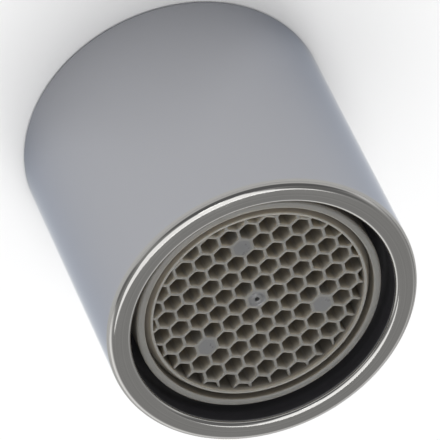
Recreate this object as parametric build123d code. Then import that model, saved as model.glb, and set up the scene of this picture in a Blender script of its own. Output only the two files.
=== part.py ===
from build123d import *
import math
import os

# Tap aerator: a chromed brass sleeve with a female thread, and in it a push-in plastic insert
# with a honeycomb outlet. Millimetres, +Z from the inlet end up to the outlet, origin in the
# middle of the inlet end, so that the aerator stands on its threaded end.

# Female thread, metric fine M22 x 1, left as a plain bore at its minor diameter
thread_major_diameter = 22.0
thread_pitch = 1.0
thread_length = 6.0
minor_depth_per_pitch = 0.541266
thread_lead_in = 0.45

# Sleeve: wall outside the thread, rim at the outlet, seat below the thread, ledge below the seat
thread_wall = 1.0
rim_outer_rounding = 0.62
rim_outer_flats = 2
rim_inner_chamfer = 0.25
seat_step = 0.15
ledge_thickness = 1.4
air_gap = 0.75

# Sealing washer, on the insert's collar
washer_slack = 0.2
washer_thickness = 2.0
washer_width = 2.2
washer_clearance = 0.1

# Insert: a collar that is stopped by the sleeve's ledge, and a body that passes through it
collar_clearance = 0.2
collar_step = 0.61
collar_wall = 0.9
body_clearance = 0.2
seat_clearance = 0.1

# Outlet face of the insert: ring, sloping groove and lip round the honeycomb
face_depth = 1.2
ring_width = 0.61
ring_chamfer = 0.18
groove_width = 0.46
groove_slope = 53
lip_width = 0.23
lip_drop = 0.1

# Honeycomb, rows along X, with its middle cell and three more left filled
comb_recess = 0.5
comb_depth = 3.7
cell_pitch = 1.531
cell_web = 0.22
smallest_opening = 0.15
filled_cell_steps = 2
filled_cell_count = 3
filled_cell_angle = 30

# Air windows in the insert's wall, just past the ledge
window_count = 4
window_width = 6.0
window_height = 2.4
window_margin = 0.3

# Strainer: a rim clamped under the washer, and a flat-topped dome of facets in the washer's bore
strainer_rim = 0.6
dome_facets = 10
dome_wall = 0.5
dome_bar = 0.5
dome_slope = 45
dome_clearance = 0.4
dome_drop = 0.1
dome_mesh_pitch = 2.3

# Jet plate
jet_plate_thickness = 0.9
jet_count = 8
jet_width = 1.0
jet_length = 1.6
jet_margin = 0.6

# Homogeniser grid
mixing_length = 2.6
grid_height = 1.5
grid_pitch = 3.2
grid_bar = 0.5
grid_rim = 0.6

# Radii, worked out from the thread inwards and outwards
thread_minor_radius = thread_major_diameter / 2 - minor_depth_per_pitch * thread_pitch
sleeve_radius = thread_major_diameter / 2 + thread_wall
seat_bore_radius = thread_minor_radius - seat_step
washer_radius = seat_bore_radius - washer_clearance
washer_bore_radius = washer_radius - washer_width
collar_radius = seat_bore_radius - collar_clearance
counterbore_radius = collar_radius - collar_wall
plate_radius = counterbore_radius - seat_clearance
body_radius = collar_radius - collar_step
ledge_radius = body_radius + body_clearance
outlet_bore_radius = body_radius + air_gap
groove_radius = body_radius - ring_width
lip_radius = groove_radius - groove_width
comb_radius = lip_radius - lip_width
dome_radius = washer_bore_radius - dome_clearance

# Heights, stacked from the inlet end up to the rim
washer_z = thread_length + washer_slack
collar_z = washer_z + washer_thickness
jet_plate_z = collar_z + strainer_rim
ledge_z = jet_plate_z + jet_plate_thickness
ledge_top_z = ledge_z + ledge_thickness
window_z = ledge_top_z + window_margin
grid_z = window_z + window_height + mixing_length
comb_bottom_z = grid_z + grid_height
comb_z = comb_bottom_z + comb_depth
lip_z = comb_z + comb_recess
face_z = lip_z + lip_drop
groove_z = lip_z - groove_width * math.tan(math.radians(groove_slope))
sleeve_height = face_z + face_depth


def turned(outline):
    """Solid of revolution about Z from the (radius, height) corners of its section."""
    return revolve(Plane.XZ * make_face(Polyline(*outline, close=True)), Axis.Z)


def upright(sketch, bottom, height):
    """A flat sketch raised to a height and extruded along Z."""
    return Pos(0, 0, bottom) * extrude(sketch, height)


def rounded_rim():
    """Section points round the rim's outer edge, in a few flats that keep the facets low."""
    centre_radius = sleeve_radius - rim_outer_rounding
    centre_z = sleeve_height - rim_outer_rounding
    angles = [math.pi / 2 * step / rim_outer_flats for step in range(rim_outer_flats + 1)]
    return [
        (centre_radius + rim_outer_rounding * math.cos(angle), centre_z + rim_outer_rounding * math.sin(angle))
        for angle in angles
    ]


def square_lattice(pitch, opening, radius):
    """Square openings on a square lattice, as many as lie wholly inside a radius."""
    reach = int(radius / pitch)
    corner = opening / math.sqrt(2)
    steps = range(-reach, reach + 1)
    places = [(column * pitch, row * pitch) for column in steps for row in steps]
    inside = [place for place in places if math.hypot(*place) + corner <= radius]
    return Sketch() + [Pos(x, y) * Rectangle(opening, opening) for x, y in inside]


def outer_sleeve():
    """Turned tube: thread bore, seat, ledge that stops the insert, outlet bore and rounded rim."""
    return turned(
        [
            (thread_minor_radius + thread_lead_in, 0),
            (sleeve_radius, 0),
            *rounded_rim(),
            (outlet_bore_radius + rim_inner_chamfer, sleeve_height),
            (outlet_bore_radius, sleeve_height - rim_inner_chamfer),
            (outlet_bore_radius, ledge_top_z),
            (ledge_radius, ledge_top_z),
            (ledge_radius, ledge_z),
            (seat_bore_radius, ledge_z),
            (seat_bore_radius, thread_length),
            (thread_minor_radius, thread_length),
            (thread_minor_radius, thread_lead_in),
        ]
    )


def sealing_washer():
    """Flat rubber ring that seals the spout's end against the insert."""
    return upright(Circle(washer_radius) - Circle(washer_bore_radius), washer_z, washer_thickness)


def strainer_dome():
    """Moulded strainer: a flat rim, sloping facets with a slot each, and a flat meshed top."""
    dome_height = washer_thickness - dome_drop
    flat_share = math.cos(math.pi / dome_facets)
    outer_flat = dome_radius * flat_share
    inner_flat = outer_flat - dome_wall
    cap_flat = outer_flat - dome_height * math.tan(math.radians(dome_slope))

    def faceted(flat, bottom_z):
        outline = Pos(0, 0, bottom_z) * RegularPolygon(flat, dome_facets, major_radius=False)
        return extrude(outline, dome_height, dir=(0, 0, -1), taper=dome_slope)

    rim = Circle(plate_radius) - RegularPolygon(inner_flat, dome_facets, major_radius=False)
    dome = faceted(outer_flat, collar_z) - faceted(inner_flat, collar_z + dome_wall)
    strainer = upright(rim, collar_z, strainer_rim) + dome

    slot_width = 2 * cap_flat * math.tan(math.pi / dome_facets) - dome_bar
    slot = Rectangle(inner_flat - cap_flat - dome_bar, slot_width, align=(Align.MIN, Align.CENTER))
    slots = [place * slot for place in PolarLocations(cap_flat, dome_facets, 180 / dome_facets)]
    mesh = square_lattice(dome_mesh_pitch, dome_mesh_pitch - dome_bar, cap_flat - dome_bar)
    openings = Sketch() + slots + mesh
    return strainer - upright(openings, collar_z - dome_height, dome_height + strainer_rim)


def jet_plate():
    """Disc on the insert's shoulder, with a ring of slots that break the water into jets."""
    slot = Rectangle(jet_length, jet_width)
    circle = comb_radius - jet_margin - jet_length / 2
    slots = Sketch() + [place * slot for place in PolarLocations(circle, jet_count)]
    return upright(Circle(plate_radius) - slots, jet_plate_z, jet_plate_thickness)


def homogeniser_grid():
    """Waffle of bars behind the honeycomb, which mixes the jets with air."""
    radius = comb_radius - seat_clearance
    openings = square_lattice(grid_pitch, grid_pitch - grid_bar, radius - grid_rim)
    return upright(Circle(radius) - openings, grid_z, grid_height)


def honeycomb_cells():
    """Centres of the cells that open inside the lip, without those that are left filled."""
    apothem = (cell_pitch - cell_web) / 2
    filled_radius = filled_cell_steps * cell_pitch * math.sqrt(3)
    filled = [(0, 0)]
    for index in range(filled_cell_count):
        angle = math.radians(filled_cell_angle + index * 360 / filled_cell_count)
        filled.append((filled_radius * math.cos(angle), filled_radius * math.sin(angle)))
    reach = int(2 * comb_radius / cell_pitch) + 1
    cells = []
    for row in range(-reach, reach + 1):
        for column in range(-reach, reach + 1):
            x = (column + row / 2) * cell_pitch
            y = row * cell_pitch * math.sqrt(3) / 2
            opens = math.hypot(x, y) - apothem < comb_radius - smallest_opening
            if opens and all(math.dist((x, y), place) > cell_pitch / 2 for place in filled):
                cells.append((x, y))
    return cells


def insert_housing():
    """One moulding: collar, body with air windows, and the outlet face with its honeycomb."""
    housing = turned(
        [
            (counterbore_radius, collar_z),
            (collar_radius, collar_z),
            (collar_radius, ledge_z),
            (body_radius, ledge_z),
            (body_radius, face_z - ring_chamfer),
            (body_radius - ring_chamfer, face_z),
            (groove_radius, face_z),
            (groove_radius, groove_z),
            (lip_radius, lip_z),
            (comb_radius, lip_z),
            (comb_radius, comb_z),
            (0, comb_z),
            (0, comb_bottom_z),
            (comb_radius, comb_bottom_z),
            (comb_radius, ledge_z),
            (counterbore_radius, ledge_z),
        ]
    )
    hexagon = RegularPolygon((cell_pitch - cell_web) / 2, 6, major_radius=False, rotation=30)
    cells = Sketch() + [Pos(x, y) * hexagon for x, y in honeycomb_cells()]
    housing -= upright(cells & Circle(comb_radius), comb_bottom_z, comb_depth)

    window = Pos(0, 0, window_z + window_height / 2) * Box(
        2 * (body_radius - comb_radius), window_width, window_height
    )
    middle_radius = (body_radius + comb_radius) / 2
    housing -= [place * window for place in PolarLocations(middle_radius, window_count)]
    return housing


pieces = {
    "outer_sleeve": outer_sleeve(),
    "sealing_washer": sealing_washer(),
    "strainer_dome": strainer_dome(),
    "jet_plate": jet_plate(),
    "homogeniser_grid": homogeniser_grid(),
    "insert_housing": insert_housing(),
}

os.makedirs("parts", exist_ok=True)
for name, piece in pieces.items():
    export_step(piece, f"parts/{name}.step")
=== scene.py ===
import math

import bpy
from mathutils import Matrix, Vector
from mathutils.geometry import delaunay_2d_cdt


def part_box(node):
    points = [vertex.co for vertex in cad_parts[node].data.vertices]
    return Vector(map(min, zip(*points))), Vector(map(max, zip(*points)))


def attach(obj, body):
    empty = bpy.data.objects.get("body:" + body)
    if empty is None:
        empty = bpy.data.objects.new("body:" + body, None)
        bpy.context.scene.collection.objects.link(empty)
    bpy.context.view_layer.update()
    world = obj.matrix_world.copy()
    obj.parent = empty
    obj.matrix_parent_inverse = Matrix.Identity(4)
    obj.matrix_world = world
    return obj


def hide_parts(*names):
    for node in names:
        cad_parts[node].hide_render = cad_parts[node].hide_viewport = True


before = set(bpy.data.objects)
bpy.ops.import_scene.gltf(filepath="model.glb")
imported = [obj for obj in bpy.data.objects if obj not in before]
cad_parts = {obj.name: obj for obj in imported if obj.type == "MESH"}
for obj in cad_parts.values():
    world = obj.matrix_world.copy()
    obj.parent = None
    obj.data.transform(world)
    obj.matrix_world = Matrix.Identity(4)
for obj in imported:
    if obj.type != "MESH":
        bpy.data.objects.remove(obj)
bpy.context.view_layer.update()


# Outer sleeve: a brass tube, turned on a lathe, polished and chrome-plated. The plating covers
# the outside and the rim and hardly reaches into the bore, which stays dark and dull. The inlet
# end has a female M22 x 1 thread, cut before plating, that screws onto the spout.

mm = 0.001


def round_size(name):
    """Outer radius, lower end and upper end of a round CAD node, in millimetres."""
    low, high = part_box(name)
    return [round(value / mm, 3) for value in (high[0], low[2], high[2])]


sleeve_radius, inlet_z, sleeve_height = round_size("outer_sleeve")
sleeve_columns = 288
rim_outer_rounding = 0.58
rim_inner_width = 0.37
rim_inner_depth = 0.28
rim_crown = 0.006
rim_flat_steps = 8
inlet_edge_rounding = 0.25
inlet_edge_land = 0.04
side_margin = 0.05
bore_margin = 0.06
thread_wall = 1.0
thread_pitch = 1.0
thread_depth = 0.541
thread_root_half = 1 / 16
thread_flank = 5 / 16
thread_lead_in = 0.45
thread_run_out = 0.7
thread_steps = 16
thread_relief = 0.01
washer_slack = 0.2
seat_step = 0.15
outlet_step = 0.06
ledge_step = 0.61
ledge_thickness = 1.4
bore_middle_depth = 3.4
bore_deep_depth = 2.9
bore_bright_depth = 0.3
chrome_colour = (0.383, 0.387, 0.41, 1)
chrome_edge_tint = (0.64, 0.675, 0.735, 1)
# Rim colours: a painted warm reflection of the room on the same plating as the sleeve
rim_painted_reflection_colour = (0.392, 0.386, 0.374, 1)
rim_painted_reflection_edge_tint = (0.66, 0.66, 0.65, 1)
noise_low = 0.3
noise_high = 0.7
line_contrast = 0.05
lines_per_metre = 9000
deep_bore_colour = (0.30, 0.30, 0.32, 1)
low_bore_colour = (0.11, 0.11, 0.12, 1)
dull_bore_colour = (0.053, 0.052, 0.06, 1)
thread_brass_colour = (0.45, 0.38, 0.26, 1)
thread_plated_colour = (0.50, 0.48, 0.43, 1)

thread_major_radius = sleeve_radius - thread_wall
thread_minor_radius = thread_major_radius - thread_depth
thread_top_z = round_size("sealing_washer")[1] - washer_slack
seat_bore_radius = thread_minor_radius - seat_step
outlet_bore_radius = seat_bore_radius - outlet_step
ledge_radius = seat_bore_radius - ledge_step
ledge_z = round_size("jet_plate")[2]
ledge_top_z = ledge_z + ledge_thickness
bore_middle_z = sleeve_height - bore_middle_depth
bore_deep_z = sleeve_height - bore_deep_depth
bore_bright_z = sleeve_height - bore_bright_depth


def rounding(middle_radius, middle_z, width, from_degrees, to_degrees, steps, depth=None):
    """Section points along a rounded edge, whose depth may differ from its width."""
    depth = depth or width
    turn = to_degrees - from_degrees
    angles = [math.radians(from_degrees + turn * k / steps) for k in range(steps + 1)]
    return [(middle_radius + width * math.cos(a), middle_z + depth * math.sin(a)) for a in angles]


def even_angles(count):
    """Angles of that many columns, evenly round the axis."""
    return [2 * math.pi * k / count for k in range(count)]


def ring(radius, z, angles):
    """One row of points round the axis."""
    return [(radius * math.cos(a), radius * math.sin(a), z) for a in angles]


def thread_row(z, angles):
    """One row of the threaded bore: 60 degree flanks, a flat crest and root, and tapered ends."""
    fade = min(1.0, max(0.0, (thread_top_z - z) / thread_run_out))
    lead_in_radius = thread_minor_radius + thread_lead_in - z
    row = []
    for a in angles:
        turn = (z / thread_pitch - a / (2 * math.pi)) % 1.0
        flank = min(1.0, max(0.0, (abs(turn - 0.5) - thread_root_half) / thread_flank))
        radius = max(thread_minor_radius + thread_depth * fade * (1 - flank), lead_in_radius)
        row.append((radius * math.cos(a), radius * math.sin(a), z))
    return row


def joined(rows):
    """Points of several rows in one list."""
    return [point for row in rows for point in row]


def skin(rows, first=0, closed=False, outward=True):
    """Faces between rows of equal length that run round the axis, numbered from a first point."""
    count = len(rows[0])
    faces = []
    for r in range(len(rows) if closed else len(rows) - 1):
        low = first + r * count
        high = first + (r + 1) % len(rows) * count
        for k in range(count):
            n = (k + 1) % count
            quad = (low + k, low + n, high + n, high + k)
            faces.append(quad if outward else quad[::-1])
    return faces


def object_from(name, points, faces, materials, sharp_degrees=35):
    """Mesh object from points in millimetres, smooth but for edges sharper than an angle."""
    mesh = bpy.data.meshes.new(name)
    mesh.from_pydata([(x * mm, y * mm, z * mm) for x, y, z in points], [], faces)
    mesh.validate()
    mesh.shade_smooth()
    mesh.set_sharp_from_angle(angle=math.radians(sharp_degrees))
    for material in materials:
        mesh.materials.append(material)
    piece = bpy.data.objects.new(name, mesh)
    bpy.context.scene.collection.objects.link(piece)
    return piece


def new_material(name, colour, metallic, roughness):
    """Material with its shader's even values set, and the nodes, links and shader to add detail to."""
    material = bpy.data.materials.new(name)
    material.use_nodes = True
    nodes = material.node_tree.nodes
    shader = nodes["Principled BSDF"]
    shader.inputs["Base Color"].default_value = colour
    shader.inputs["Metallic"].default_value = metallic
    shader.inputs["Roughness"].default_value = roughness
    return material, nodes, material.node_tree.links, shader


def speckle(nodes, links, shader, scale, detail, low, high):
    """Noise over the piece, which spreads the roughness between two values."""
    place = nodes.new("ShaderNodeTexCoord")
    noise = nodes.new("ShaderNodeTexNoise")
    noise.inputs["Scale"].default_value = scale
    noise.inputs["Detail"].default_value = detail
    links.new(place.outputs["Object"], noise.inputs["Vector"])
    spread = nodes.new("ShaderNodeMapRange")
    spread.inputs["From Min"].default_value = noise_low
    spread.inputs["From Max"].default_value = noise_high
    spread.inputs["To Min"].default_value = low
    spread.inputs["To Max"].default_value = high
    links.new(noise.outputs["Fac"], spread.inputs["Value"])
    links.new(spread.outputs["Result"], shader.inputs["Roughness"])
    return noise.outputs["Fac"]


def toned(nodes, links, shader, value, *stops):
    """Base colour that follows a value from 0 to 1 through two or more stops."""
    ramp = nodes.new("ShaderNodeValToRGB")
    elements = ramp.color_ramp.elements
    elements[0].position = stops[0][0]
    elements[0].color = stops[0][1]
    elements[1].position = stops[-1][0]
    elements[1].color = stops[-1][1]
    for position, colour in stops[1:-1]:
        elements.new(position).color = colour
    links.new(value, ramp.inputs["Fac"])
    links.new(ramp.outputs["Color"], shader.inputs["Base Color"])


def bumped(nodes, links, shader, value, strength, distance):
    """Bumps on the surface that follow a value."""
    bump = nodes.new("ShaderNodeBump")
    bump.inputs["Strength"].default_value = strength
    bump.inputs["Distance"].default_value = distance
    links.new(value, bump.inputs["Height"])
    links.new(bump.outputs["Normal"], shader.inputs["Normal"])


def turning_lines(nodes, links):
    """Noise that follows the distance from the axis, like the faint rings that a lathe tool leaves."""
    place = nodes.new("ShaderNodeTexCoord")
    split = nodes.new("ShaderNodeSeparateXYZ")
    flat = nodes.new("ShaderNodeCombineXYZ")
    radius = nodes.new("ShaderNodeVectorMath")
    radius.operation = "LENGTH"
    lines = nodes.new("ShaderNodeTexNoise")
    lines.noise_dimensions = "1D"
    lines.inputs["Scale"].default_value = lines_per_metre
    lines.inputs["Detail"].default_value = 3
    links.new(place.outputs["Object"], split.inputs["Vector"])
    links.new(split.outputs["X"], flat.inputs["X"])
    links.new(split.outputs["Y"], flat.inputs["Y"])
    links.new(flat.outputs["Vector"], radius.inputs[0])
    links.new(radius.outputs["Value"], lines.inputs["W"])
    return lines.outputs["Fac"]


def turned_chrome(name, colour, edge_tint):
    """Polished chrome with faint lines from turning, a little dimmer and brighter than its colour."""
    material, nodes, links, shader = new_material(name, colour, metallic=1.0, roughness=0.07)
    shader.inputs["Specular Tint"].default_value = edge_tint
    speckle(nodes, links, shader, scale=260, detail=3, low=0.05, high=0.10)
    lines = turning_lines(nodes, links)
    bumped(nodes, links, shader, lines, strength=0.13, distance=0.02 * mm)
    dim = (*[value * (1 - line_contrast) for value in colour[:3]], 1)
    bright = (*[value * (1 + line_contrast) for value in colour[:3]], 1)
    toned(nodes, links, shader, lines, (noise_low, dim), (noise_high, bright))
    return material


chrome = turned_chrome("polished_chrome", chrome_colour, chrome_edge_tint)
# The rim's copy of the chrome is a little warmer and darker than the sleeve's: a painted warm reflection of
# the room, not a different plating
rim_painted_reflection_chrome = turned_chrome("polished_rim_painted_reflection", rim_painted_reflection_colour, rim_painted_reflection_edge_tint)

dull_bore, nodes, links, shader = new_material("dull_bore", dull_bore_colour, metallic=0.5, roughness=0.4)
speckle(nodes, links, shader, scale=900, detail=4, low=0.34, high=0.5)
place = nodes.new("ShaderNodeTexCoord")
height = nodes.new("ShaderNodeSeparateXYZ")
up_the_bore = nodes.new("ShaderNodeMapRange")
up_the_bore.inputs["From Min"].default_value = bore_deep_z * mm
up_the_bore.inputs["From Max"].default_value = bore_bright_z * mm
links.new(place.outputs["Object"], height.inputs["Vector"])
links.new(height.outputs["Z"], up_the_bore.inputs["Value"])
toned(
    nodes,
    links,
    shader,
    up_the_bore.outputs["Result"],
    (0, deep_bore_colour),
    (0.3, low_bore_colour),
    (0.75, dull_bore_colour),
    (0.94, dull_bore_colour),
    (1, chrome_colour),
)

thread_metal, nodes, links, shader = new_material(
    "plated_thread", thread_brass_colour, metallic=1.0, roughness=0.3
)
patches = speckle(nodes, links, shader, scale=700, detail=4, low=0.24, high=0.4)
toned(nodes, links, shader, patches, (0.42, thread_brass_colour), (0.62, thread_plated_colour))
bumped(nodes, links, shader, patches, strength=0.2, distance=0.02 * mm)

sleeve_angles = even_angles(sleeve_columns)
rim_edge_z = sleeve_height - rim_crown
rim_outer_z = rim_edge_z - rim_outer_rounding
rim_inner_z = rim_edge_z - rim_inner_depth
rim_outer_middle = sleeve_radius - rim_outer_rounding
rim_inner_middle = outlet_bore_radius + rim_inner_width
inlet_middle = sleeve_radius - inlet_edge_rounding
rim_flat = []
for k in range(1, rim_flat_steps):
    across = k / rim_flat_steps
    radius = rim_outer_middle + across * (rim_inner_middle - rim_outer_middle)
    rim_flat.append((radius, sleeve_height + rim_crown * (4 * across * (1 - across) - 1)))
chrome_section = [
    (inlet_middle - inlet_edge_land, inlet_z),
    *rounding(inlet_middle, inlet_edge_rounding, inlet_edge_rounding, -90, 0, steps=6),
    (sleeve_radius, inlet_edge_rounding + side_margin),
]
rim_section = [
    (sleeve_radius, rim_outer_z - side_margin),
    *rounding(rim_outer_middle, rim_outer_z, rim_outer_rounding, 0, 90, steps=16),
    *rim_flat,
    *rounding(rim_inner_middle, rim_inner_z, rim_inner_width, 90, 180, steps=14, depth=rim_inner_depth),
]
bore_section = [
    (outlet_bore_radius, rim_inner_z - bore_margin),
    (outlet_bore_radius, bore_middle_z),
    (outlet_bore_radius, ledge_top_z),
    (ledge_radius, ledge_top_z),
    (ledge_radius, ledge_z),
    (seat_bore_radius, ledge_z),
    (seat_bore_radius, thread_top_z + thread_relief),
]
thread_levels = range(int(thread_top_z / thread_pitch * thread_steps))
thread_heights = [thread_top_z - thread_pitch * k / thread_steps for k in thread_levels]
sleeve_rows = [ring(r, z, sleeve_angles) for r, z in chrome_section + rim_section + bore_section]
sleeve_rows += [thread_row(z, sleeve_angles) for z in thread_heights]
sleeve_rows.append(ring(thread_minor_radius + thread_lead_in, inlet_z, sleeve_angles))

sleeve = object_from(
    "turned_sleeve",
    joined(sleeve_rows),
    skin(sleeve_rows, closed=True),
    [chrome, rim_painted_reflection_chrome, dull_bore, thread_metal],
)
rim_row = len(chrome_section)
bore_row = rim_row + len(rim_section) - 1
first_thread_row = bore_row + len(bore_section)
inlet_row = len(sleeve_rows) - 1
for polygon in sleeve.data.polygons:
    row = polygon.index // sleeve_columns
    if rim_row <= row < bore_row:
        polygon.material_index = 1
    elif bore_row <= row < first_thread_row:
        polygon.material_index = 2
    elif first_thread_row <= row < inlet_row:
        polygon.material_index = 3
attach(sleeve, "root")
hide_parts("outer_sleeve")


# Insert housing: one acetal moulding, pushed in from the inlet end until its collar meets the
# sleeve's ledge. Its outlet face has a ring, a groove and a thin lip round a honeycomb that
# straightens the stream. Three cells and the middle one, with the gate mark, are left filled.

collar_radius, collar_z, face_z = round_size("insert_housing")
collar_wall = 0.9
collar_step = 0.61
ring_width = 0.61
ring_rounding = 0.24
groove_width = 0.46
groove_depth = 1.0
groove_rounding = 0.1
groove_floor = 0.03
groove_floor_outer = 0.02
groove_floor_inner = 0.06
lip_width = 0.23
lip_drop = 0.1
lip_rounding = 0.1
lip_foot = 0.03
comb_recess = 0.7
comb_dish = 0.18
comb_columns = 300
window_margin = 0.3
window_height = 2.4
window_width = 6.0
window_count = 4
cell_pitch = 1.531
cell_web = 0.22
cell_edge = 0.075
cell_edge_steps = 4
cell_corner = 0.22
cell_corner_steps = 5
deep_corner = 0.5
deep_corner_depth = 0.6
smallest_opening = 0.15
filled_cell_distance = 2 * cell_pitch * math.sqrt(3)
filled_cell_degrees = (30, 150, 270)
gate_dish_radius = 0.66
gate_columns = 48
same_place = 1e-3
plan_tolerance = 1e-6
inside_only = 1
# How fast the painted light and shade follow depth, and the painted light on the lip and in the cells'
# corners
lip_shade = 1.3
groove_shade = 10
ring_shade = 2
lip_painted_light_offset = 0.12
corner_painted_light_share = 0.5
painted_light_fade = 0.33
painted_shade_fade = 9
insert_colour = (0.179, 0.177, 0.167, 1)
# insert_colour is the plastic's own colour; the mouth, deep and groove colours are painted light, painted
# bounce light and painted shade
mouth_painted_light_colour = (0.45, 0.435, 0.40, 1)
deep_painted_bounce_colour = (0.200, 0.182, 0.152, 1)
groove_painted_shade_colour = (0.03, 0.026, 0.021, 1)
# Filled cells: the same acetal, painted darker and cooler as a reflection of the bluish room
filled_painted_reflection_colour = (0.127, 0.128, 0.129, 1)

counterbore_radius = collar_radius - collar_wall
body_radius = collar_radius - collar_step
groove_radius = body_radius - ring_width
lip_radius = groove_radius - groove_width
comb_radius = lip_radius - lip_width
window_z = ledge_top_z + window_margin
window_top_z = window_z + window_height
comb_bottom_z = round_size("homogeniser_grid")[2]
comb_z = face_z - comb_recess
comb_edge_z = comb_z + comb_dish
lip_z = face_z - lip_drop
groove_z = face_z - groove_depth
cell_apothem = (cell_pitch - cell_web) / 2
cell_core = cell_apothem - cell_corner
corner_pull = (deep_corner - cell_corner) * (1 / math.cos(math.pi / 6) - 1)


def pointing(angle):
    """Flat direction at an angle."""
    return Vector((math.cos(angle), math.sin(angle)))


def turn_of(place):
    """Angle of a flat place round the origin."""
    return math.atan2(place.y, place.x)


def filled_cells():
    """Middles of the cells that are left filled."""
    outer = [filled_cell_distance * pointing(math.radians(degrees)) for degrees in filled_cell_degrees]
    return [Vector((0, 0)), *outer]


def open_cells():
    """Middles of the open cells, in rows along X."""
    filled = filled_cells()
    reach = int(2 * comb_radius / cell_pitch) + 1
    cells = []
    for row in range(-reach, reach + 1):
        for column in range(-reach, reach + 1):
            middle = Vector(((column + row / 2) * cell_pitch, row * cell_pitch * math.sqrt(3) / 2))
            opens = middle.length - cell_apothem < comb_radius - smallest_opening
            if opens and all((middle - other).length > cell_pitch / 2 for other in filled):
                cells.append(middle)
    return cells


def cell_outline(middle, grown):
    """Outline of a hexagonal cell with rounded corners, grown outwards by a length."""
    points = []
    for side in range(6):
        corner = middle + cell_core / math.cos(math.pi / 6) * pointing(math.radians(30 + 60 * side))
        for k in range(cell_corner_steps + 1):
            turn = math.radians(60 * side + 60 * k / cell_corner_steps)
            points.append(corner + (cell_corner + grown) * pointing(turn))
    return points


def cell_outward(place):
    """Direction out of a cell, at a place on its outline measured from the cell's middle."""
    side = round(turn_of(place) / (math.pi / 3))
    normal = pointing(side * math.pi / 3)
    along = Vector((-normal.y, normal.x))
    reach = cell_core * math.tan(math.pi / 6)
    slide = place.dot(along)
    if abs(slide) <= reach:
        return normal
    corner = cell_core * normal + math.copysign(reach, slide) * along
    return (place - corner).normalized()


def corner_share(place):
    """Nearness of a place on a cell's outline to a corner: 0 at a side's middle, 1 at the corner."""
    return math.sin(3 * (turn_of(place) % (math.pi / 3))) ** 4


# Flat plan of the honeycomb in triangles: the disc, the open cells, the gate mark, the filled cells
cells = open_cells()
flat_outlines = [
    [comb_radius * pointing(a) for a in even_angles(comb_columns)],
    *[cell_outline(middle, cell_edge) for middle in cells],
    [gate_dish_radius * pointing(a) for a in even_angles(gate_columns)],
    *[cell_outline(middle, 0.0) for middle in filled_cells()],
]
flat_points = []
flat_loops = []
for outline in flat_outlines:
    flat_loops.append(list(range(len(flat_points), len(flat_points) + len(outline))))
    flat_points += outline
flat, _, triangles, _, _, owners = delaunay_2d_cdt(flat_points, [], flat_loops, inside_only, plan_tolerance)
gate_owner = len(cells) + 1

webs = []
filled_webs = set()
openings = []
cell_of = {}
for tri, own in zip(triangles, owners):
    opened = [owner for owner in own if 0 < owner < gate_owner]
    if 0 in own and opened:
        openings.append(tri)
        cell_of.update((v, cells[opened[0] - 1]) for v in tri)
    elif 0 in own and gate_owner not in own:
        if max(own) > gate_owner:
            filled_webs.add(len(webs))
        webs.append(tri)
web_places = {v for tri in webs for v in tri}
plan_places = sorted(web_places | set(cell_of))
on_lip = {v for v in plan_places if flat[v].length > comb_radius - same_place}

# Levels down a cell's wall from the slightly dished face: the web's rounded edge, then straight down,
# with corners that grow rounder. Each is an inset, a depth and a pull on the corners.
levels = []
for k in range(cell_edge_steps + 1):
    a = math.pi / 2 * k / cell_edge_steps
    levels.append((cell_edge * math.sin(a), cell_edge * (1 - math.cos(a)), 0))
levels += [
    (cell_edge, 0.5 * deep_corner_depth, 0.5 * corner_pull),
    (cell_edge, deep_corner_depth, corner_pull),
    (cell_edge, 2 * deep_corner_depth, corner_pull),
    (cell_edge, comb_edge_z - comb_bottom_z, corner_pull),
]

insert_points = []
painted_shade_depths = []
insert_faces = []
filled_faces = []
wall = {}
for v in plan_places:
    wall[v] = []
    dish = comb_dish * (flat[v].length / comb_radius) ** 2
    from_middle = flat[v] - cell_of[v] if v in cell_of else None
    share = corner_share(from_middle) if v in cell_of else 0
    for inset, depth, pull in levels:
        place = flat[v].copy()
        if v in cell_of and v in web_places:
            place -= inset * cell_outward(from_middle)
            place -= pull * share * from_middle.normalized()
        if v in on_lip:
            place *= comb_radius / place.length
        wall[v].append(len(insert_points))
        insert_points.append((place.x, place.y, max(comb_z + dish - depth, comb_bottom_z)))
        # Depth for the painted light and shade: the lip's walls count from the lip's top, and corners count
        # as shallower, so painted light reaches further down them
        if v in on_lip and inset:
            painted_shade_depths.append(depth + lip_z - comb_edge_z)
        else:
            painted_shade_depths.append(depth * (1 - corner_painted_light_share * share))

for k, tri in enumerate(webs):
    if k in filled_webs:
        filled_faces.append(len(insert_faces))
    insert_faces.append(tuple(wall[v][0] for v in tri))
    insert_faces.append(tuple(wall[v][-1] for v in reversed(tri)))
web_edges = {(tri[k], tri[k - 2]) for tri in webs for k in range(3)}
cell_edges = {(tri[k], tri[k - 2]) for tri in openings for k in range(3)}
wall_edges = [(a, b) for a, b in web_edges if (b, a) in cell_edges]
wall_edges += [(b, a) for a, b in cell_edges if (b, a) not in cell_edges and (b, a) not in web_edges]
for a, b in wall_edges:
    for upper in range(len(levels) - 1):
        lower = upper + 1
        insert_faces.append((wall[a][upper], wall[a][lower], wall[b][lower], wall[b][upper]))

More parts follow.
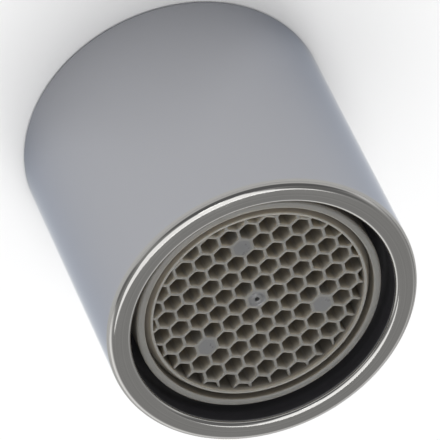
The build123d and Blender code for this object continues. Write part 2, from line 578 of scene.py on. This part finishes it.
# Gate mark in the middle: a shallow dish, a small raised collar and a blind pinhole, as radii and
# heights over the honeycomb's middle
gate_section = [
    (0.62, -0.015),
    (0.57, -0.03),
    (0.50, -0.03),
    (0.46, -0.015),
    (0.42, 0.01),
    (0.35, 0.025),
    (0.25, 0.02),
    (0.19, 0.0),
    (0.16, -0.06),
    (0.14, -0.7),
]
gate_edge = [v for v in wall if abs(flat[v].length - gate_dish_radius) < same_place and v not in cell_of]
gate_ring = sorted(gate_edge, key=lambda v: turn_of(flat[v]))
gate_angles = [turn_of(flat[v]) for v in gate_ring]
gate_first = len(insert_points)
gate_rows = [ring(r, comb_z + z, gate_angles) for r, z in gate_section]
gate_last = gate_first + (len(gate_rows) - 1) * len(gate_ring)
insert_points += joined(gate_rows)
painted_shade_depths += [max(0.0, -z) for _, z in gate_section for _ in gate_ring]
gate_faces = skin(gate_rows, first=gate_first)
for k, v in enumerate(gate_ring):
    n = (k + 1) % len(gate_ring)
    gate_faces.append((wall[v][0], wall[gate_ring[n]][0], gate_first + n, gate_first + k))
filled_faces += range(len(insert_faces), len(insert_faces) + len(gate_faces))
insert_faces += gate_faces
insert_faces.append(tuple(gate_last + k for k in range(len(gate_ring))))
insert_faces.append(tuple(wall[v][-1] for v in reversed(gate_ring)))

# Body of revolution round the honeycomb, from the lip over the ring and collar into the chamber
lip_ring = sorted(on_lip, key=lambda v: turn_of(flat[v]))
body_angles = [turn_of(flat[v]) for v in lip_ring]
columns = len(lip_ring)
body_section = [
    (comb_radius, comb_edge_z + lip_foot),
    *rounding(comb_radius + lip_rounding, lip_z - lip_rounding, lip_rounding, 180, 90, steps=5),
    *rounding(lip_radius - lip_rounding, lip_z - lip_rounding, lip_rounding, 90, 45, steps=3),
    (groove_radius - groove_floor_inner, groove_z + groove_floor),
    (groove_radius - groove_floor_outer, groove_z),
    (groove_radius, groove_z + groove_floor),
    *rounding(groove_radius + groove_rounding, face_z - groove_rounding, groove_rounding, 180, 90, steps=5),
    *rounding(body_radius - ring_rounding, face_z - ring_rounding, ring_rounding, 90, 0, steps=6),
    (body_radius, window_top_z),
    (body_radius, window_z),
    (body_radius, ledge_z),
    (collar_radius, ledge_z),
    (collar_radius, collar_z),
    (counterbore_radius, collar_z),
    (counterbore_radius, ledge_z),
    (comb_radius, ledge_z),
    (comb_radius, window_z),
    (comb_radius, window_top_z),
]
body_first = len(insert_points)
body_rows = [ring(r, z, body_angles) for r, z in body_section]
insert_points += joined(body_rows)

# Depth below the face that the painted light and shade follow: it counts most in the narrow groove, and the
# lip is set above the face so that it is painted paler
for r, z in body_section:
    if r < lip_radius:
        depth = lip_shade * (lip_z - z) - lip_painted_light_offset
    elif r <= groove_radius:
        depth = groove_shade * (face_z - z)
    else:
        depth = ring_shade * (face_z - z)
    painted_shade_depths += [depth] * columns


def body_point(row, k):
    """Number of a point of the body of revolution."""
    return body_first + row * columns + k % columns


window_half = math.asin(window_width / 2 / body_radius)
window_turn = 2 * math.pi / window_count
in_window = []
for k in range(columns):
    step = (body_angles[(k + 1) % columns] - body_angles[k]) % (2 * math.pi)
    turn = (body_angles[k] + step / 2) % window_turn
    in_window.append(min(turn, window_turn - turn) < window_half)
outer_row = body_section.index((body_radius, window_top_z))
inner_row = body_section.index((comb_radius, window_z))
for index, face in enumerate(skin(body_rows, first=body_first, outward=False)):
    row, k = divmod(index, columns)
    if not (in_window[k] and row in (outer_row, inner_row)):
        insert_faces.append(face)
for k in range(columns):
    here = [body_point(row, k) for row in (outer_row, outer_row + 1, inner_row, inner_row + 1)]
    after = [body_point(row, k + 1) for row in (outer_row, outer_row + 1, inner_row, inner_row + 1)]
    if in_window[k]:
        insert_faces.append((here[0], here[3], after[3], after[0]))
        insert_faces.append((after[1], after[2], here[2], here[1]))
    if in_window[k] != in_window[k - 1]:
        insert_faces.append(tuple(here) if in_window[k] else tuple(reversed(here)))
last_row = len(body_rows) - 1
for k, v in enumerate(lip_ring):
    after = lip_ring[(k + 1) % columns]
    insert_faces.append((wall[v][0], body_point(0, k), body_point(0, k + 1), wall[after][0]))
    insert_faces.append((body_point(last_row, k), wall[v][-1], wall[after][-1], body_point(last_row, k + 1)))


def translucent(shader, weight, reach):
    """Light that goes a little way into the plastic, red the furthest."""
    shader.inputs["Subsurface Weight"].default_value = weight
    shader.inputs["Subsurface Radius"].default_value = (1.0, 0.9, 0.75)
    shader.inputs["Subsurface Scale"].default_value = reach


def arithmetic(nodes, links, operation, first, second=None):
    """Math node on one or two values, each a number or the output of another node."""
    node = nodes.new("ShaderNodeMath")
    node.operation = operation
    for socket, value in zip(node.inputs, (first, second)):
        if isinstance(value, (int, float)):
            socket.default_value = value
        elif value is not None:
            links.new(value, socket)
    return node.outputs["Value"]


def mixed_colour(nodes, links, share, first, second):
    """Colour between two, each a colour or the output of another node."""
    mix = nodes.new("ShaderNodeMix")
    mix.data_type = "RGBA"
    links.new(share, mix.inputs[0])
    for socket, colour in zip((mix.inputs[6], mix.inputs[7]), (first, second)):
        if isinstance(colour, tuple):
            socket.default_value = colour
        else:
            links.new(colour, socket)
    return mix.outputs[2]


def faded(nodes, links, depth, fade_length):
    """Share that falls off with depth, from 1 at the face."""
    return arithmetic(nodes, links, "EXPONENT", arithmetic(nodes, links, "DIVIDE", depth, -fade_length))


insert_plastic, nodes, links, shader = new_material(
    "grey_acetal", insert_colour, metallic=0.0, roughness=0.32
)
translucent(shader, weight=0.8, reach=1.1 * mm)
shader.inputs["Specular IOR Level"].default_value = 0.25
grain = speckle(nodes, links, shader, scale=1500, detail=5, low=0.30, high=0.42)
bumped(nodes, links, shader, grain, strength=0.06, distance=0.01 * mm)

# Painted light and shade in the base colour: upright walls are painted paler near their top and browner
# below, the narrow groove is painted dark, and the thin lip is painted paler all over, standing in for light
# that the plastic carries down from its face
attribute = nodes.new("ShaderNodeAttribute")
attribute.attribute_name = "painted_shade_depth"
painted_shade_depth = attribute.outputs["Fac"]
surface = nodes.new("ShaderNodeNewGeometry")
normal = nodes.new("ShaderNodeSeparateXYZ")
links.new(surface.outputs["Normal"], normal.inputs["Vector"])
level = arithmetic(nodes, links, "ABSOLUTE", normal.outputs["Z"])
upright = arithmetic(nodes, links, "POWER", arithmetic(nodes, links, "SUBTRACT", 1, level), 2)
near_face = faded(nodes, links, painted_shade_depth, painted_light_fade)
below = arithmetic(nodes, links, "SUBTRACT", 1, near_face)
tone = mixed_colour(nodes, links, below, insert_colour, deep_painted_bounce_colour)
tone = mixed_colour(nodes, links, faded(nodes, links, painted_shade_depth, painted_shade_fade), groove_painted_shade_colour, tone)
painted_mouth_light = arithmetic(nodes, links, "MULTIPLY", upright, near_face)
tone = mixed_colour(nodes, links, painted_mouth_light, tone, mouth_painted_light_colour)
painted_lip_light = arithmetic(nodes, links, "MULTIPLY", painted_shade_depth, -1)
tone = mixed_colour(nodes, links, painted_lip_light, tone, mouth_painted_light_colour)
links.new(tone, shader.inputs["Base Color"])

# The filled faces are a little smoother; their darker, cooler colour is a painted reflection of the bluish
# room
filled_plastic, nodes, links, shader = new_material(
    "smooth_acetal_painted_reflection", filled_painted_reflection_colour, metallic=0.0, roughness=0.3
)
translucent(shader, weight=0.5, reach=0.4 * mm)
speckle(nodes, links, shader, scale=1500, detail=5, low=0.26, high=0.34)

insert_materials = [insert_plastic, filled_plastic]
insert = object_from("honeycomb_insert", insert_points, insert_faces, insert_materials, sharp_degrees=40)
insert.data.attributes.new("painted_shade_depth", "FLOAT", "POINT").data.foreach_set("value", painted_shade_depths)
for k in filled_faces:
    insert.data.polygons[k].material_index = 1
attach(insert, "root")
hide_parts("insert_housing")


# Homogeniser grid, jet plate and strainer: thin acetal mouldings, stacked in the insert from
# its inlet end and held there by the washer. Fine ribs, moulded with the strainer, cross its
# openings and keep grit out of the jets.

dome_radius = 7.609
dome_facets = 10
dome_wall = 0.5
dome_bar = 0.5
cap_pitch = 2.3
cap_steps = (-1, 0, 1)
rib_width = 0.16
rib_height = 0.3
rib_pitch = 0.45
rib_seat = 0.04
rib_flat_share = 0.6
rib_side_share = 0.5
slot_ribs = 6
inner_colour = (0.42, 0.42, 0.40, 1)
inner_shade_colour = (0.36, 0.355, 0.33, 1)

inner_plastic, nodes, links, shader = new_material("pale_acetal", inner_colour, metallic=0.0, roughness=0.45)
translucent(shader, weight=0.3, reach=0.5 * mm)
grain = speckle(nodes, links, shader, scale=1200, detail=5, low=0.38, high=0.54)
bumped(nodes, links, shader, grain, strength=0.12, distance=0.01 * mm)
toned(nodes, links, shader, grain, (0.35, inner_shade_colour), (0.6, inner_colour))
for name in ("homogeniser_grid", "jet_plate", "strainer_dome"):
    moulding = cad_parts[name]
    moulding.data.materials.clear()
    moulding.data.materials.append(inner_plastic)

dome_top_z = round_size("strainer_dome")[1]
dome_outer_flat = dome_radius * math.cos(math.pi / dome_facets)
dome_cap_flat = dome_outer_flat - (collar_z - dome_top_z)
rib_corners = []
for right, up in ((1, 1), (-1, 1), (-1, -1), (1, -1)):
    pair = [(right / 2, up * rib_side_share / 2), (right * rib_flat_share / 2, up / 2)]
    rib_corners += pair if right == up else reversed(pair)
rib_points = []
rib_faces = []


def rib(middle, reach, across):
    """Bar with bevelled edges that reaches both ways from its middle, its width along a direction."""
    upright = reach.normalized().cross(across)
    first = len(rib_points)
    count = len(rib_corners)
    for end in (middle - reach, middle + reach):
        rib_points.extend(end + a * rib_width * across + b * rib_height * upright for a, b in rib_corners)
    for k in range(count):
        n = (k + 1) % count
        rib_faces.append((first + k, first + n, first + count + n, first + count + k))
    rib_faces.append(tuple(first + k for k in reversed(range(count))))
    rib_faces.append(tuple(first + count + k for k in range(count)))


cap_half = (cap_pitch - dome_bar) / 2
for column in cap_steps:
    for row in cap_steps:
        middle = Vector((column * cap_pitch, row * cap_pitch, dome_top_z + dome_wall / 2))
        for along in (Vector((1, 0, 0)), Vector((0, 1, 0))):
            across = Vector((along.y, along.x, 0))
            for step in cap_steps:
                rib(middle + step * rib_pitch * across, (cap_half + rib_seat) * along, across)

slot_length = dome_outer_flat - dome_wall - dome_cap_flat - dome_bar
slot_half = dome_cap_flat * math.tan(math.pi / dome_facets) - dome_bar / 2
for facet in range(dome_facets):
    a = 2 * math.pi * (facet + 0.5) / dome_facets
    outward = Vector((math.cos(a), math.sin(a), 0))
    across = Vector((-outward.y, outward.x, 0))
    downhill = outward + Vector((0, 0, 1))
    inner_end = dome_cap_flat * outward + Vector((0, 0, dome_top_z + dome_wall))
    middle = inner_end + slot_length / 2 * downhill
    for k in range(slot_ribs):
        step = rib_pitch * (k - (slot_ribs - 1) / 2)
        rib(middle + step * across, (slot_length / 2 + rib_seat) * downhill, across)
    rib(middle, (slot_half + rib_seat) * across, downhill.normalized())

ribs = object_from("strainer_ribs", rib_points, rib_faces, [inner_plastic], sharp_degrees=60)
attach(ribs, "root")


# Sealing washer: a flat ring cut from black rubber, laid on the strainer's rim. The end of the
# spout presses on it.

washer_radius, washer_z, washer_top_z = round_size("sealing_washer")
washer_width = 2.2
washer_rounding = 0.18
washer_columns = 192
rubber_colour = (0.020, 0.020, 0.021, 1)
rubber_dust_colour = (0.06, 0.058, 0.055, 1)

rubber, nodes, links, shader = new_material("black_rubber", rubber_colour, metallic=0.0, roughness=0.7)
grain = speckle(nodes, links, shader, scale=1400, detail=6, low=0.6, high=0.85)
bumped(nodes, links, shader, grain, strength=0.3, distance=0.03 * mm)
toned(nodes, links, shader, grain, (0.5, rubber_colour), (1, rubber_dust_colour))

washer_outer = washer_radius - washer_rounding
washer_inner = washer_radius - washer_width + washer_rounding
washer_low = washer_z + washer_rounding
washer_high = washer_top_z - washer_rounding
washer_section = [
    *rounding(washer_outer, washer_low, washer_rounding, -90, 0, steps=5),
    *rounding(washer_outer, washer_high, washer_rounding, 0, 90, steps=5),
    *rounding(washer_inner, washer_high, washer_rounding, 90, 180, steps=5),
    *rounding(washer_inner, washer_low, washer_rounding, 180, 270, steps=5),
]
washer_rows = [ring(r, z, even_angles(washer_columns)) for r, z in washer_section]
washer = object_from("rubber_washer", joined(washer_rows), skin(washer_rows, closed=True), [rubber])
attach(washer, "root")
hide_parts("sealing_washer")


# Studio: a pale paper floor, a rectangular soft box over the outlet with a bright middle, and a
# grey room that is dark round the camera and bright low down. The camera stands as in the photo.

floor_size = 4.0
floor_gap = 0.03 * mm
floor_colour = (0.93, 0.93, 0.93, 1)

bpy.ops.mesh.primitive_plane_add(size=floor_size, location=(0, 0, -floor_gap))
floor = bpy.context.object
floor.name = "pale_floor"
paper, nodes, links, shader = new_material("pale_paper", floor_colour, metallic=0.0, roughness=0.9)
speckle(nodes, links, shader, scale=40, detail=3, low=0.85, high=0.95)
floor.data.materials.append(paper)

photo_azimuth = math.radians(127.457)
photo_elevation = math.radians(48.668)
photo_roll = math.radians(153.978)
camera_aim = Vector((0.06, -0.08, 11.68)) * mm
camera_distance = 0.52177
camera_sensor = 36
camera_lens = 567.54

upwards = Vector((0, 0, 1))
camera_side = Vector((math.sin(photo_azimuth), -math.cos(photo_azimuth), 0))
left_side = Vector((math.cos(photo_azimuth), math.sin(photo_azimuth), 0))
camera_back = math.cos(photo_elevation) * camera_side + math.sin(photo_elevation) * upwards
level_up = camera_back.cross(left_side)
camera_right = math.cos(photo_roll) * left_side + math.sin(photo_roll) * level_up
camera_up = camera_back.cross(camera_right)
camera_turn = Matrix((camera_right, camera_up, camera_back)).transposed().to_4x4()
camera_data = bpy.data.cameras.new("photo_camera")
camera_data.sensor_width = camera_sensor
camera_data.lens = camera_lens
camera = bpy.data.objects.new("photo_camera", camera_data)
bpy.context.scene.collection.objects.link(camera)
camera.matrix_world = Matrix.Translation(camera_aim + camera_distance * camera_back) @ camera_turn
bpy.context.scene.camera = camera
bpy.context.scene.view_settings.view_transform = "Standard"

# Each part of the soft box: its right, left, far and near end, in metres from the axis, and its radiance
soft_box_height = 0.62
soft_box_parts = (
    ("soft_box", -0.145, 0.40, -0.36, 0.223, 1.37),
    ("soft_box_middle", -0.05, 0.062, -0.39, 0.25, 6.6),
)
for name, right_end, left_end, far_end, near_end, radiance in soft_box_parts:
    lamp = bpy.data.lights.new(name, "AREA")
    lamp.shape = "RECTANGLE"
    lamp.size = left_end - right_end
    lamp.size_y = near_end - far_end
    lamp.energy = radiance * math.pi * lamp.size * lamp.size_y
    soft_box = bpy.data.objects.new(name, lamp)
    soft_box.location = (left_end + right_end) / 2 * left_side + (near_end + far_end) / 2 * camera_side
    soft_box.location.z = soft_box_height
    soft_box.rotation_euler.z = photo_azimuth
    bpy.context.scene.collection.objects.link(soft_box)

room_colour = (0.447, 0.446, 0.443, 1)
glow_colour = (0.60, 0.60, 0.60, 1)
dark_colour = (0.21, 0.21, 0.215, 1)
dim_colour = (0.27, 0.27, 0.27, 1)
near_low_colour = (0.95, 0.95, 0.95, 1)
far_low_colour = (1.3, 1.3, 1.3, 1)
low_left_colour = (1.65, 1.65, 1.65, 1)
low_right_colour = (0.50, 0.50, 0.50, 1)
far_left = (left_side - 0.8 * camera_side).normalized()
far_right = (-left_side - 0.94 * camera_side).normalized()
unlit_side = (camera_side - 0.5 * left_side).normalized()
right_of_box = (upwards - 0.2 * camera_side - 0.575 * left_side).normalized()
left_wall = (left_side + 0.27 * camera_side + 0.4 * upwards).normalized()

world = bpy.data.worlds.new("grey_room")
bpy.context.scene.world = world
world.use_nodes = True
nodes = world.node_tree.nodes
links = world.node_tree.links
direction = nodes.new("ShaderNodeTexCoord")


def blend(first, second, axis, low, high):
    """Colour that turns from one into another as a direction's reach along an axis rises."""
    reach = nodes.new("ShaderNodeVectorMath")
    reach.operation = "DOT_PRODUCT"
    reach.inputs[1].default_value = axis
    links.new(direction.outputs["Generated"], reach.inputs[0])
    share = nodes.new("ShaderNodeMapRange")
    share.interpolation_type = "SMOOTHSTEP"
    share.inputs["From Min"].default_value = low
    share.inputs["From Max"].default_value = high
    links.new(reach.outputs["Value"], share.inputs["Value"])
    return mixed_colour(nodes, links, share.outputs["Result"], first, second)


low_room = blend(far_low_colour, low_left_colour, far_left, low=0.65, high=0.95)
low_room = blend(low_room, low_right_colour, far_right, low=0.75, high=0.98)
high_room = blend(room_colour, glow_colour, upwards, low=0.76, high=0.88)
high_room = blend(high_room, dark_colour, unlit_side, low=0.25, high=0.45)
high_room = blend(high_room, dim_colour, right_of_box, low=0.935, high=0.985)
far_room = blend(low_room, high_room, upwards, low=0.30, high=0.62)
near_room = blend(near_low_colour, high_room, upwards, low=0.27, high=0.45)
near_room = blend(near_room, dim_colour, left_wall, low=0.945, high=0.985)
room = blend(far_room, near_room, camera_side, low=-0.3, high=0.1)
links.new(room, nodes["Background"].inputs["Color"])
